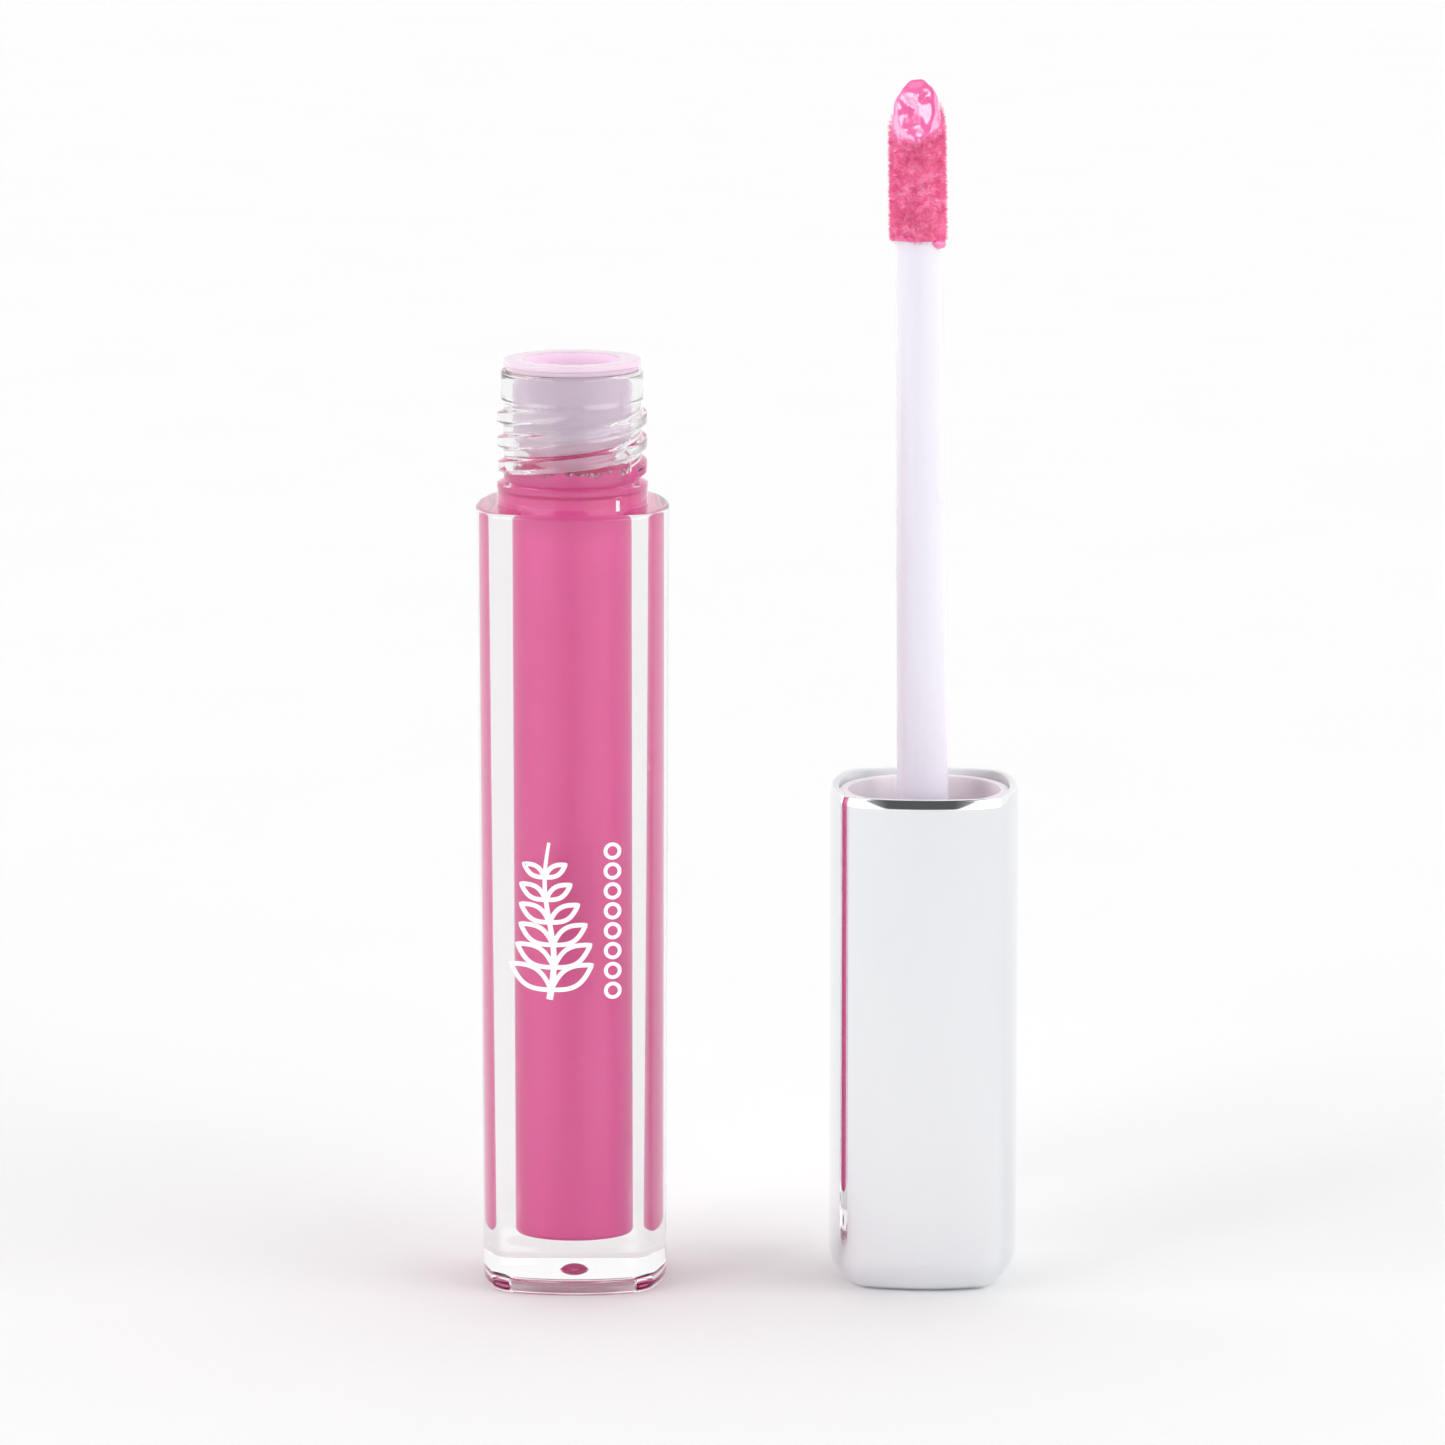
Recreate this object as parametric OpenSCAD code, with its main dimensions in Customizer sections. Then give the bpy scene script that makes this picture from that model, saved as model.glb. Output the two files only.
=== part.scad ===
// Lip gloss tube, standing open: the bottle, and its applicator upside down beside it.
// Millimetres, +Z up. The origin is the centre of the bottle's foot, on the surface it stands on.

/* [Bottle] */
// Width of the bottle across its flat faces, at the shoulder
body_w = 17.3; // [15.5:0.1:20.8]
// How far each face leans in from the shoulder to the foot
body_taper = 0.35; // [0:0.05:0.6]
// Height of the shoulder above the foot
body_h = 71; // [59:0.5:90]
// Radius of the bottle's upright corners
body_corner_r = 2.7; // [2:0.1:5]
// Radius that each face of the bottle bulges to
body_bulge_r = 16.5; // [14:0.5:60]
// Bevel around the foot and around the shoulder
body_bevel = 0.4; // [0.2:0.05:0.6]
// Radius of the round cavity that holds the gloss
cavity_r = 4.4; // [3.5:0.05:5.1]
// Thickness of the clear base under the cavity
base_t = 4.45; // [3:0.05:6]
// Width of the ring that the bottle stands on
foot_ring_w = 1.9; // [1.2:0.1:3]
// Depth of the recess inside that ring
recess_depth = 1.2; // [0.5:0.1:1.5]
// Radius of the moulding dimple in the middle of the recess
dimple_r = 1.4; // [1:0.1:2]
// Depth of the moulding dimple
dimple_depth = 0.6; // [0.3:0.1:0.9]

/* [Neck] */
// Radius of the neck between its threads
neck_r = 6.15; // [5.8:0.05:7.4]
// Height of the neck above the shoulder, without the wiper's flange
neck_h = 12; // [11.5:0.1:14.4]
// Wall between the neck's root and the bore that the wiper is pressed into
neck_wall = 0.8; // [0.7:0.05:1.4]
// How far the plain band at the top of the neck stands out
band_out = 0.2; // [0.1:0.05:0.25]
// Height of the plain band
band_h = 2.7; // [1.5:0.1:2.8]
// How far the collar at the foot of the neck stands out
collar_out = 0.6; // [0.4:0.05:0.7]
// Height of the collar at the foot of the neck
collar_h = 2.2; // [1.5:0.1:2.5]
// Height of the first thread's start above the shoulder
thread_start_h = 2.85; // [2.8:0.05:3.2]
// Direction in which the first thread starts, from +X towards +Y
thread_start_turn = -40; // [-180:5:180]
// How far the thread ridges stand out
thread_depth = 0.55; // [0.4:0.05:0.65]
// Rise of one thread in a full turn
thread_lead = 4.4; // [4.2:0.05:4.6]
// Turns that each thread makes
thread_turns = 1.4; // [0.75:0.05:1.4]

/* [Wiper] */
// Thickness of the flange that lies on the neck's rim
flange_t = 1; // [0.5:0.05:1.2]
// How far the flange reaches out over the neck's rim
flange_reach = 0.8; // [0.6:0.05:1.3]
// Wall of the wiper's sleeve
sleeve_wall = 1; // [0.5:0.05:1.1]
// Clearance around the widest part of the wand, in the orifice that wipes it
wipe_clearance = 0.05; // [0.03:0.01:0.1]
// Length of the orifice's straight land
orifice_len = 2; // [1.6:0.1:2.4]
// Wall around the orifice
orifice_wall = 0.8; // [0.5:0.05:1]
// Length of the straight sleeve under the flange's top
sleeve_len = 6.8; // [5:0.1:7.2]
// Length of the cone between the sleeve and the land
cone_len = 2.7; // [1.6:0.1:2.8]

/* [Gloss] */
// Height of the gloss around the wiper, above the shoulder
gloss_level_h = 3.4; // [2.6:0.1:4]
// Depth of the hollow that the drawn-out wand leaves, below the wiper
hollow_depth = 3; // [2:0.1:6]

/* [Cap] */
// How far the cap's faces stand in from the bottle's shoulder
cap_inset = 0.15; // [0:0.05:0.5]
// Thinnest wall around the cap's screw socket
socket_wall = 0.77; // [0.6:0.01:1.2]
// Height of the cap
cap_h = 45.4; // [37.8:0.1:60]
// Radius of the cap's upright corners
cap_corner_r = 3.2; // [2.5:0.1:5]
// Radius that each face of the cap bulges to
cap_bulge_r = 18; // [14:0.5:60]
// Radius of the edge around the closed end
cap_edge_r = 3; // [1.5:0.1:3.2]
// Wall of the silver shell
shell_wall = 0.8; // [0.5:0.05:0.9]
// Thickness of the shell's closed end
shell_floor = 2; // [1.8:0.1:3]
// Gap between the closed cap's rim and the bottle's shoulder
cap_gap = 0.3; // [0.2:0.05:0.6]
// How far the inner cap's rim lies below the shell's rim
inner_recess = 0.45; // [0.4:0.05:0.8]
// Running clearance in the screw socket, between crests and walls
screw_clearance = 0.13; // [0.1:0.01:0.2]
// Thickness of the wall between the screw socket and the empty closed end
deck_t = 2; // [1.2:0.1:3]
// Thickness of the gasket
gasket_t = 1; // [0.6:0.05:1.5]
// Clearance around the gasket
gasket_clearance = 0.05; // [0.03:0.01:0.08]

/* [Wand] */
// Gap between the closed wand's apex and the floor of the bottle's cavity
tip_gap = 3.2; // [2:0.1:10]
// Radius of the stem where it leaves the inner cap
stem_base_r = 2.4; // [2:0.01:2.9]
// Radius of the stem at the tip
stem_tip_r = 1.98; // [1.8:0.01:2.1]
// Depth of the stem's plug in the inner cap
stem_plug_len = 6; // [4:0.1:8]
// Length of the flocked tip
tip_len = 14.4; // [11:0.1:18]
// Radius of the flocked tip
tip_r = 2.35; // [2:0.01:2.9]
// Thickness of the flock
flock_t = 0.35; // [0.25:0.05:0.5]
// Length of the slanted face at the end of the tip
facet_len = 6.2; // [5:0.1:7]
// How far past the tip's axis the slanted face reaches at its apex
facet_past = 0.4; // [0:0.1:1.5]
// Direction that the slanted face looks in, from +X towards +Y
facet_turn = 250; // [0:1:359]
// Thickness of the wet gloss on the slanted face
coat_t = 0.25; // [0.15:0.05:0.4]

/* [Arrangement] */
// Distance between the bottle's axis and the applicator's axis
spacing = 31.6; // [26:0.1:60]
// Turn of the bottle about its own axis
bottle_turn = -1; // [-45:1:45]
// Turn of the applicator about its own axis
cap_turn = -2; // [-45:1:45]

/* [Hidden] */
$fn = 64;
corner_steps = 8;
face_steps = 6;
edge_steps = 7;
nose_steps = 14;
eps = 0.01;

// What a piece or a cut reaches past the face it joins or opens
overlap = 1;
// Clearance between pieces that are pushed together
slip = 0.05;

thread_starts = 2;
thread_root_w = 1.5;
thread_crest_w = 0.8;
socket_root_w = 1.1;
socket_crest_w = 0.5;
thread_sink = 0.2;
thread_steps = 30;
ramp_steps = 3;

stop_lug_turn = -50;
stop_lug_w = 0.6;
stop_lug_out = 1;
stop_lug_rise = 0.2;

rib_w = 1.5;
rib_sink = 0.3;
rib_recess = 0.4;
flange_plate_t = 1.2;
boss_wall = 1.2;
boss_floor = 1;
core_pin_r = 1.2;
core_pin_len = 4;
nose_share = 2.1;
drop_r = 0.95;

thread_pitch = thread_lead / thread_starts;
foot_w = body_w - 2 * body_taper;
collar_r = neck_r + collar_out;
crest_r = neck_r + thread_depth;
neck_bore_r = neck_r - neck_wall;
neck_top = body_h + neck_h;
flange_top = neck_top + flange_t;
sleeve_end = flange_top - sleeve_len;
land_top = sleeve_end - cone_len;
land_end = land_top - orifice_len;
mouth_r = neck_bore_r - sleeve_wall;
flange_r = neck_bore_r + flange_reach;
orifice_r = max(tip_r, stem_base_r) + wipe_clearance;
land_outer_r = orifice_r + orifice_wall;
gloss_level = body_h + gloss_level_h;

// The cavity runs on into the collar, where it widens to the neck's bore
cavity_top = body_h + collar_h / 2;

// The screw socket is set out from the closed tube, then turned over with the cap
closed_h = body_h + cap_gap + cap_h;
socket_r = max(crest_r, collar_r) + screw_clearance;
socket_crest_r = neck_r + band_out + screw_clearance + eps;
inner_cap_r = socket_r + socket_wall;

// The cap is as wide as the bottle lets it be, or wider where its screw socket needs it
cap_w = max(body_w - 2 * cap_inset, 2 * (inner_cap_r + slip + shell_wall));
deck_top = closed_h - flange_top - gasket_t - 2 * gasket_clearance;
deck_end = deck_top - deck_t;
plug_end = deck_top - stem_plug_len;
inner_rim = cap_h - inner_recess;
rib_bend_r = cap_corner_r - shell_wall - slip;
rib_reach = corner_centre(cap_w, cap_corner_r, cap_bulge_r) * sqrt(2)
    + sqrt(pow(rib_bend_r, 2) - pow(rib_w / 2, 2));

tip_top = closed_h - base_t - tip_gap;
tip_end = tip_top - tip_len;
facet_angle = atan((tip_r + facet_past) / facet_len);

// Distance from the axis, along X and along Y, of the centre of an upright corner's arc,
// where that arc runs smoothly into the arcs of the two bulging faces beside it
function corner_centre(w, corner, bulge) =
    let (back = bulge - w / 2)
    (sqrt(2 * pow(bulge - corner, 2) - pow(back, 2)) - back) / 2;

// Outline of a square whose four faces bulge and whose corners are round
function bulged_square(w, corner, bulge) =
    let (back = bulge - w / 2,
         centre = corner_centre(w, corner, bulge),
         half = atan2(centre, centre + back))
    [for (side = [0 : 3])
        let (face = [for (i = [0 : face_steps - 1])
                 let (turn = -half + 2 * half * i / face_steps)
                 [bulge * cos(turn) - back, bulge * sin(turn)]],
             bend = [for (i = [0 : corner_steps - 1])
                 let (turn = half + (90 - 2 * half) * i / corner_steps)
                 [centre + corner * cos(turn), centre + corner * sin(turn)]])
        for (p = concat(face, bend))
            [p[0] * cos(90 * side) - p[1] * sin(90 * side),
             p[0] * sin(90 * side) + p[1] * cos(90 * side)]];

// A flat slab with that outline, drawn in by inset all round
module bulged_slab(w, corner, bulge, inset, h) {
    linear_extrude(height = h)
        polygon(bulged_square(w - 2 * inset, max(corner - inset, eps), bulge - inset));
}

// A block with that outline whose lower edge is rounded
module rounded_pod(w, corner, bulge, edge, top) {
    hull() {
        for (i = [0 : edge_steps]) {
            turn = 90 * i / edge_steps;
            translate([0, 0, edge * (1 - cos(turn))])
                bulged_slab(w, corner, bulge, edge * (1 - sin(turn)), eps);
        }
    }
    translate([0, 0, edge]) bulged_slab(w, corner, bulge, 0, top - edge);
}

// A tapered block with that outline and bevelled edges at its foot and its shoulder
module tapered_body() {
    hull() {
        bulged_slab(foot_w, body_corner_r, body_bulge_r, body_bevel, eps);
        translate([0, 0, body_bevel])
            bulged_slab(foot_w, body_corner_r, body_bulge_r, 0, eps);
        translate([0, 0, body_h - body_bevel - eps])
            bulged_slab(body_w, body_corner_r, body_bulge_r, 0, eps);
        translate([0, 0, body_h - eps])
            bulged_slab(body_w, body_corner_r, body_bulge_r, body_bevel, eps);
    }
}

// Place of the applicator: beside the bottle, turned about its own axis
module on_applicator() {
    translate([spacing, 0, 0]) rotate([0, 0, cap_turn]) children();
}

// A right-handed helical ridge with a trapezoid section that sinks into its wall at both ends.
// root_r is the wall's radius, tip_out is positive on a shaft and negative in a bore.
module thread_ridge(root_r, tip_out, root_w, crest_w, start_angle) {
    steps = ceil(thread_turns * thread_steps);
    side = sign(tip_out);
    ring = [for (i = [0 : steps])
        let (ramp = min(1, min(i, steps - i) / ramp_steps),
             angle = start_angle + 360 * thread_turns * i / steps,
             rise = thread_lead * thread_turns * i / steps,
             inner = root_r - side * thread_sink,
             outer = root_r - side * thread_sink / 2 + (tip_out + side * thread_sink / 2) * ramp)
        for (corner = [[inner, -root_w / 2], [outer, -crest_w / 2],
                       [outer, crest_w / 2], [inner, root_w / 2]])
            [corner[0] * cos(angle), corner[0] * sin(angle), rise + corner[1]]];
    walls = [for (i = [0 : steps - 1], j = [0 : 3])
        let (a = 4 * i + j, b = 4 * i + (j + 1) % 4)
        each side > 0 ? [[a, b, a + 4], [b, b + 4, a + 4]] : [[a, a + 4, b], [b, a + 4, b + 4]]];
    last = 4 * steps;
    first_end = side > 0 ? [[0, 2, 1], [0, 3, 2]] : [[0, 1, 2], [0, 2, 3]];
    last_end = side > 0 ? [[last, last + 1, last + 2], [last, last + 2, last + 3]]
                        : [[last, last + 2, last + 1], [last, last + 3, last + 2]];
    polyhedron(points = ring, faces = concat(walls, first_end, last_end), convexity = 6);
}

// A shallow dome that stands on the plane z: r is its rim's radius
module dome(r, h, z) {
    sphere_r = (r * r + h * h) / (2 * h);
    translate([0, 0, z + h - sphere_r]) sphere(r = sphere_r);
}

module bottle() {
    color([0.95, 0.88, 0.92, 0.45])
    rotate([0, 0, bottle_turn]) {
        difference() {
            union() {
                tapered_body();
                translate([0, 0, body_h - overlap])
                    cylinder(r = collar_r, h = collar_h + overlap);
                translate([0, 0, body_h - overlap]) cylinder(r = neck_r, h = neck_h + overlap);
                translate([0, 0, neck_top - band_h]) cylinder(r = neck_r + band_out, h = band_h);
                // Stop lug: the closed cap's rim comes down around it
                rotate([0, 0, stop_lug_turn])
                    translate([neck_r, -stop_lug_w / 2, body_h - overlap])
                    cube([stop_lug_out, stop_lug_w, cap_gap + stop_lug_rise + overlap]);
                for (k = [0 : thread_starts - 1])
                    translate([0, 0, body_h + thread_start_h])
                        thread_ridge(neck_r, thread_depth, thread_root_w, thread_crest_w,
                                     thread_start_turn + 360 * k / thread_starts);
            }
            translate([0, 0, base_t]) cylinder(r = cavity_r, h = cavity_top - base_t + overlap);
            translate([0, 0, cavity_top]) cylinder(r = neck_bore_r, h = neck_h);
            translate([0, 0, -overlap])
                bulged_slab(foot_w, body_corner_r, body_bulge_r, foot_ring_w,
                            recess_depth + overlap);
            dome(dimple_r, dimple_depth, recess_depth);
        }
    }
}

module wiper() {
    color([0.96, 0.86, 0.92])
    rotate_extrude() polygon([
        [mouth_r, flange_top], [flange_r, flange_top], [flange_r, neck_top],
        [neck_bore_r, neck_top], [neck_bore_r, sleeve_end], [land_outer_r, land_top],
        [land_outer_r, land_end], [orifice_r, land_end], [orifice_r, land_top],
        [mouth_r, sleeve_end + sleeve_wall]]);
}

module gloss_fill() {
    sleeve_r_at_level = land_outer_r
        + max(0, gloss_level - land_top) * (neck_bore_r - land_outer_r) / cone_len;
    color([0.86, 0.35, 0.6])
    rotate_extrude() polygon(concat(
        [[0, base_t], [cavity_r, base_t], [cavity_r, cavity_top], [neck_bore_r, cavity_top],
         [neck_bore_r, gloss_level], [sleeve_r_at_level, gloss_level]],
        gloss_level > land_top ? [[land_outer_r, land_top]] : [],
        [[land_outer_r, land_end - hollow_depth], [0, land_end - hollow_depth]]));
}

module over_shell() {
    color([0.85, 0.86, 0.88])
    on_applicator() difference() {
        rounded_pod(cap_w, cap_corner_r, cap_bulge_r, cap_edge_r, cap_h);
        translate([0, 0, shell_floor])
            bulged_slab(cap_w, cap_corner_r, cap_bulge_r, shell_wall, cap_h);
    }
}

module inner_cap() {
    // Turned over, a ridge at height z on the closed tube lies at closed_h - z in the cap
    first_ridge = body_h + thread_start_h + thread_pitch / 2 + thread_turns * thread_lead;
    first_angle = 180 - thread_start_turn - 360 * thread_turns;
    color("white")
    on_applicator() {
        difference() {
            union() {
                translate([0, 0, deck_end]) cylinder(r = inner_cap_r, h = inner_rim - deck_end);
                translate([0, 0, deck_end])
                    bulged_slab(cap_w, cap_corner_r, cap_bulge_r, shell_wall + slip, flange_plate_t);
                translate([0, 0, plug_end - boss_floor])
                    cylinder(r = stem_base_r + boss_wall,
                             h = deck_end - plug_end + boss_floor + overlap);
                for (turn = [45 : 90 : 315])
                    rotate([0, 0, turn]) translate([inner_cap_r - rib_sink, -rib_w / 2, deck_end])
                        cube([rib_reach - inner_cap_r + rib_sink, rib_w,
                              inner_rim - deck_end - rib_recess]);
            }
            translate([0, 0, deck_top]) cylinder(r = socket_r, h = inner_rim);
            translate([0, 0, plug_end]) cylinder(r = stem_base_r, h = inner_rim);
        }
        for (k = [0 : thread_starts - 1])
            translate([0, 0, closed_h - first_ridge])
                thread_ridge(socket_r, socket_crest_r - socket_r, socket_root_w, socket_crest_w,
                             first_angle + 360 * k / thread_starts);
    }
}

module sealing_gasket() {
    color([0.93, 0.9, 0.88])
    on_applicator() translate([0, 0, deck_top + gasket_clearance]) difference() {
        cylinder(r = min(flange_r, socket_crest_r - gasket_clearance), h = gasket_t);
        translate([0, 0, -overlap])
            cylinder(r = stem_base_r + 4 * gasket_clearance, h = gasket_t + 2 * overlap);
    }
}

module wand_stem() {
    color([0.97, 0.93, 0.96])
    on_applicator() rotate_extrude() polygon([
        [0, plug_end], [stem_base_r, plug_end], [stem_base_r, deck_top],
        [stem_tip_r, tip_end], [core_pin_r, tip_end], [core_pin_r, tip_end - core_pin_len],
        [0, tip_end - core_pin_len]]);
}

// The doe-foot form: a round-nosed rod, cut by the plane of its slanted face.
// cut is how deep the face lies below the outermost one.
module doe_foot(r, top, cut) {
    nose = nose_share * r;
    outline = [for (i = [0 : nose_steps])
        let (turn = 90 * i / nose_steps)
        [r * cos(turn), top - nose + nose * sin(turn)]];
    difference() {
        rotate_extrude() polygon(concat([[0, tip_end], [r, tip_end]], outline));
        rotate([0, 0, facet_turn]) translate([tip_r, 0, tip_top - facet_len])
            rotate([0, -facet_angle, 0]) translate([-cut, -2 * tip_r, -4 * tip_r])
            cube([6 * tip_r, 4 * tip_r, 10 * tip_r]);
    }
}

module tip_core() {
    color([0.93, 0.75, 0.84])
    on_applicator() {
        doe_foot(tip_r - flock_t, tip_top - flock_t, coat_t + flock_t);
        translate([0, 0, tip_end - core_pin_len]) cylinder(r = core_pin_r, h = core_pin_len);
    }
}

module tip_flock() {
    color([0.9, 0.45, 0.65])
    on_applicator() difference() {
        doe_foot(tip_r, tip_top, coat_t);
        doe_foot(tip_r - flock_t, tip_top - flock_t, coat_t + flock_t);
    }
}

module gloss_coat() {
    color([0.85, 0.35, 0.58])
    on_applicator() {
        difference() {
            doe_foot(tip_r, tip_top, 0);
            doe_foot(tip_r, tip_top, coat_t);
        }
        // Drop that hangs at the foot of the flock
        difference() {
            translate([tip_r - drop_r, -drop_r / 2, tip_end]) sphere(r = drop_r);
            translate([0, 0, tip_end]) cylinder(r = tip_r, h = tip_len);
            translate([0, 0, tip_end - 2 * drop_r])
                cylinder(r = stem_tip_r + slip, h = 2 * drop_r + overlap);
        }
    }
}

bottle();
wiper();
gloss_fill();
over_shell();
inner_cap();
sealing_gasket();
wand_stem();
tip_core();
tip_flock();
gloss_coat();
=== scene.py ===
"""Looks of an open lip gloss tube: the clear bottle, and the silver cap with its wand upside down beside it."""

import math
import random

import bmesh
import bpy
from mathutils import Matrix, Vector, noise


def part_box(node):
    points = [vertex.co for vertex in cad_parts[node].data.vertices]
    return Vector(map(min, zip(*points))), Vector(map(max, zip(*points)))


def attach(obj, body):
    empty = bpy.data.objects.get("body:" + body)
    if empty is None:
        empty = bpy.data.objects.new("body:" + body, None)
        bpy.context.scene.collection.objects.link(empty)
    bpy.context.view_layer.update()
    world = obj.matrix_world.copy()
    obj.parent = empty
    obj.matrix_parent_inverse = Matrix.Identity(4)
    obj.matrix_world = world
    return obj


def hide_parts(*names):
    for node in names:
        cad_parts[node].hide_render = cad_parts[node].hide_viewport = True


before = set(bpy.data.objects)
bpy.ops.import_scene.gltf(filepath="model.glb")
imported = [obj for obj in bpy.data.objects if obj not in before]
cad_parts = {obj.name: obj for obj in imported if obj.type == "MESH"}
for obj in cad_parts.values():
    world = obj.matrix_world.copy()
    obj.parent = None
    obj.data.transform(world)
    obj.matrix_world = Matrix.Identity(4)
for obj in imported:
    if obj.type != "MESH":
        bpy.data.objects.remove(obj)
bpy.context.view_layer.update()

MM = 0.001
TAU = 2 * math.pi

# ---------------------------------------------------------------- sizes, in millimetres


def node_box(node):
    """Lowest and highest corner of a CAD node, in millimetres."""
    low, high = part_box(node)
    return Vector(low) / MM, Vector(high) / MM


wiper_low, wiper_high = node_box("wiper")
gasket_low, gasket_high = node_box("sealing_gasket")
gloss_low, gloss_high = node_box("gloss_fill")

CAP_X = (gasket_low.x + gasket_high.x) / 2
BOTTLE_TURN = math.radians(-1)
CAP_TURN = math.radians(-2)

BODY_BULGE_R = 16.5
BODY_CORNER_R = 2.7
CAP_BULGE_R = 18
CAP_CORNER_R = 3.2
SHOULDER_HALF = 8.65
FOOT_HALF = 8.3
FOOT_EDGE = 0.7
SHOULDER_EDGE = 0.4
BASE_T = gloss_low.z
NECK_TOP = node_box("bottle")[1].z
NECK_H = 12
SHOULDER_Z = NECK_TOP - NECK_H
CAVITY_R = 4.4
NECK_BORE_R = 5.35
FOOT_RING_W = 1.9
RECESS_DEPTH = 1.2
DIMPLE_R = 1.4
DIMPLE_DEPTH = 0.6
FLOOR_EDGE = 0.5
STEP_EDGE = 0.2
NECK_R = 6.15
BAND_R = 6.35
BAND_H = 2.7
COLLAR_R = 6.75
COLLAR_H = 2.2
CAVITY_TOP = SHOULDER_Z + COLLAR_H / 2
STOP_LUG_TURN = math.radians(-50)
THREAD_DEPTH = 0.55
THREAD_LEAD = 4.4
THREAD_STARTS = 2
THREAD_TURNS = 1.4
THREAD_START_H = 2.85
THREAD_START_TURN = math.radians(-40)

FLANGE_TOP = wiper_high.z
FLANGE_R = 6.15
MOUTH_R = 4.35
LAND_END = wiper_low.z
LAND_TOP = LAND_END + 2
CONE_LEN = 2.7
SLEEVE_WALL = 1
ORIFICE_R = 2.45
LAND_OUTER_R = 3.25
SLEEVE_END = LAND_TOP + CONE_LEN
GLOSS_LEVEL = gloss_high.z
HOLLOW_DEPTH = 3
HOLLOW_END = LAND_END - HOLLOW_DEPTH

CAP_HALF = 8.5
CAP_H = node_box("over_shell")[1].z
CAP_EDGE = 3.0
SHELL_WALL = 0.8
INNER_R = 7.65
SOCKET_R = 6.88
INNER_RIM = node_box("inner_cap")[1].z
SLIP = 0.05
DECK_TOP = gasket_low.z - SLIP
DECK_END = DECK_TOP - 2
PLATE_T = 1.2
RIB_W = 1.5
RIB_RECESS = 0.4
CAP_GAP = 0.3
PLUG_END = node_box("wand_stem")[0].z
BOSS_R = 3.6

STEM_BASE_R = 2.4
STEM_TIP_R = 1.98
TIP_END = node_box("tip_flock")[0].z
TIP_R = 2.35
TIP_NOSE = 2.1 * TIP_R
LEAN = math.tan(math.radians(0.7))
TIP_LEN = 14.4
TIP_TOP = TIP_END + TIP_LEN
FLOCK_T = 0.35
COAT_T = 0.25
DROP_R = 0.95
FACET_LEN = 6.2
FACET_TURN = math.radians(250)
FACET_PAST = 0.4
FACET_ANGLE = math.atan((TIP_R + FACET_PAST) / FACET_LEN)

# ---------------------------------------------------------------- outlines


def corner_centre(half, corner, bulge):
    """Distance along X and Y of a corner arc's centre, where it runs smoothly into both bulging faces."""
    back = bulge - half
    return (math.sqrt(2 * (bulge - corner) ** 2 - back**2) - back) / 2


def outline_radius(angle, half, corner, bulge):
    """Radius of the bulged square in a direction."""
    turned = (angle + math.pi / 4) % (math.pi / 2) - math.pi / 4
    back = bulge - half
    centre = corner_centre(half, corner, bulge)
    meet = math.atan2(centre, centre + back)
    meet_angle = math.atan2(bulge * math.sin(meet), bulge * math.cos(meet) - back)
    if abs(turned) <= meet_angle:
        return math.sqrt(bulge**2 - (back * math.sin(turned)) ** 2) - back * math.cos(turned)
    off = math.pi / 4 - abs(turned)
    reach = centre * math.sqrt(2)
    return reach * math.cos(off) + math.sqrt(max(corner**2 - (reach * math.sin(off)) ** 2, 0))


def spokes(face_steps=44, corner_steps=30):
    """Directions round the axis, closer together at the four corners."""
    centre = corner_centre(SHOULDER_HALF, BODY_CORNER_R, BODY_BULGE_R)
    back = BODY_BULGE_R - SHOULDER_HALF
    meet = math.atan2(centre, centre + back)
    out = []
    for side in range(4):
        for i in range(face_steps):
            turn = -meet + 2 * meet * i / face_steps
            x = BODY_BULGE_R * math.cos(turn) - back
            y = BODY_BULGE_R * math.sin(turn)
            out.append(math.atan2(y, x) + side * TAU / 4)
        for i in range(corner_steps):
            turn = meet + (TAU / 4 - 2 * meet) * i / corner_steps
            x = centre + BODY_CORNER_R * math.cos(turn)
            y = centre + BODY_CORNER_R * math.sin(turn)
            out.append(math.atan2(y, x) + side * TAU / 4)
    return out


SPOKES = spokes()


def square_ring(half, corner, bulge, inset, z):
    """One ring of a bulged square, drawn in by inset."""
    return [(outline_radius(a, half - inset, max(corner - inset, 0.05), bulge - inset), a, z) for a in SPOKES]


def body_ring(half, inset, z):
    return square_ring(half, BODY_CORNER_R, BODY_BULGE_R, inset, z)


def cap_ring(inset, z):
    return square_ring(CAP_HALF, CAP_CORNER_R, CAP_BULGE_R, inset, z)


def round_ring(radius, z, angles=SPOKES):
    return [(radius, a, z) for a in angles]


def fillet(start, end, steps=6, outward=True):
    """Quarter-round steps from one (inset, z) to another: inset first and then z, or the reverse."""
    out = []
    for i in range(steps + 1):
        t = TAU / 4 * i / steps
        a, b = (math.sin(t), 1 - math.cos(t)) if outward else (1 - math.cos(t), math.sin(t))
        out.append((start[0] + (end[0] - start[0]) * a, start[1] + (end[1] - start[1]) * b))
    return out


# ---------------------------------------------------------------- mesh builders


def mesh_object(name, vertices, faces, turn=0.0, x=0.0, sharp=math.radians(35)):
    """A smooth-shaded mesh from vertices in millimetres, turned about its own axis and set at x."""
    mesh = bpy.data.meshes.new(name)
    c, s = math.cos(turn), math.sin(turn)
    placed = [((px * c - py * s + x) * MM, (px * s + py * c) * MM, pz * MM) for px, py, pz in vertices]
    mesh.from_pydata(placed, [], faces)
    bm = bmesh.new()
    bm.from_mesh(mesh)
    bmesh.ops.recalc_face_normals(bm, faces=bm.faces)
    bm.to_mesh(mesh)
    bm.free()
    mesh.shade_smooth()
    mesh.set_sharp_from_angle(angle=sharp)
    piece = bpy.data.objects.new(name, mesh)
    bpy.context.scene.collection.objects.link(piece)
    return piece


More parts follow.
